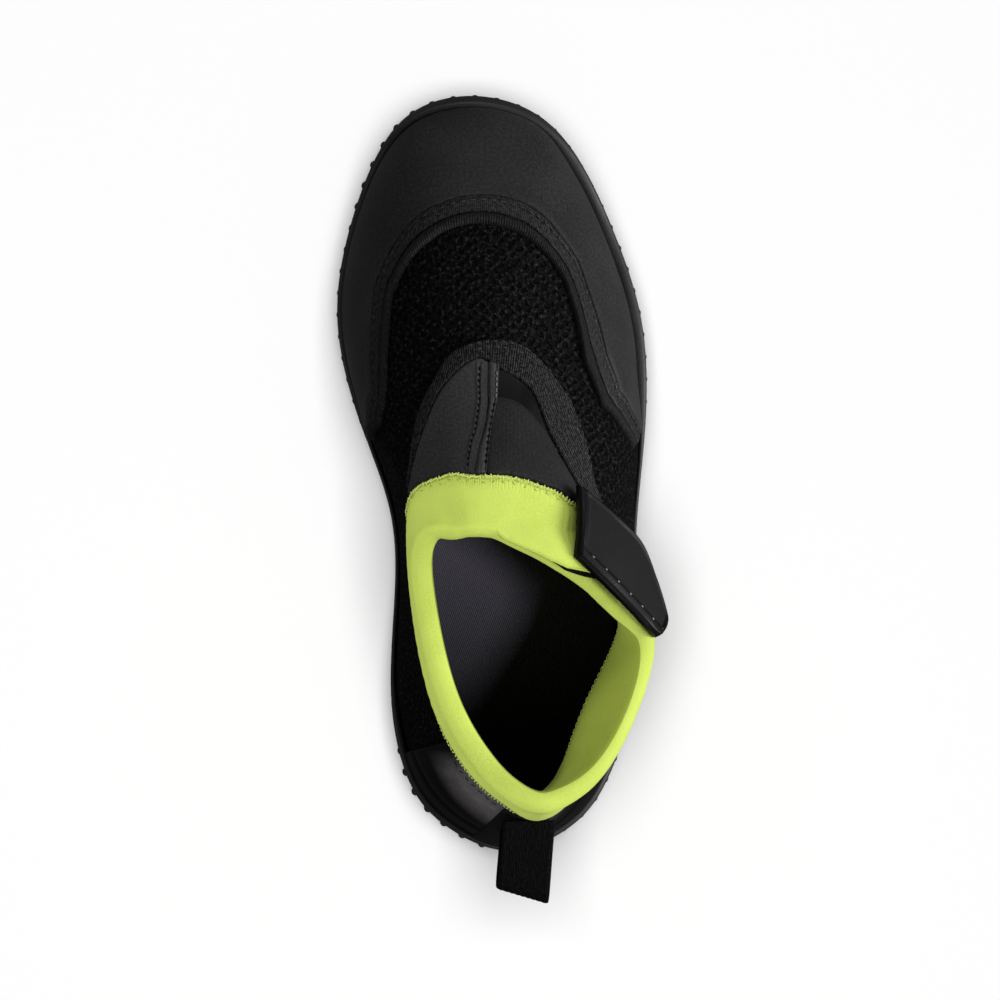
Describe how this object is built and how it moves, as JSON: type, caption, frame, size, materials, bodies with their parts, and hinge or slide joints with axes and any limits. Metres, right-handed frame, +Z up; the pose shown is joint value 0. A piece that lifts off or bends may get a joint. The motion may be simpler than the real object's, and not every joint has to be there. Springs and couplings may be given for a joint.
{
  "type": "water shoe",
  "caption": "Low stretch water shoe for a right foot: lugged rubber sole, mudguard, bound collar, instep strap with a moulded tab, and a heel loop.",
  "frame": {"origin": "on the ground, at the middle of the heel's flat pad", "axes": "+Z up, +Y from the heel to the toe, +X to the outer side of the foot"},
  "size_m": [0.0867, 0.214, 0.0698],
  "materials": {
    "sole_rubber": "matt moulded rubber",
    "footbed_cloth": "fine woven cloth",
    "air_mesh": "open knitted mesh",
    "lime_binding": "soft stretch knit",
    "neoprene": "jersey-faced neoprene",
    "seam_tape": "ribbed seam tape with two stitch lines",
    "smooth_synthetic": "smooth coated cloth",
    "webbing": "ribbed webbing",
    "tab_rubber": "matt moulded rubber"
  },
  "bodies": {
    "root": {"outsole": "sole_rubber", "insole": "footbed_cloth", "upper": "air_mesh", "collar_binding": "lime_binding", "toe_guard": "neoprene", "toe_tape": "seam_tape", "arch_tape": "seam_tape", "heel_counter": "smooth_synthetic", "instep_panel": "neoprene", "strap": "neoprene", "hook_pad": "webbing", "strap_tab": "tab_rubber", "pull_loop": "webbing"}
  },
  "joints": []
}
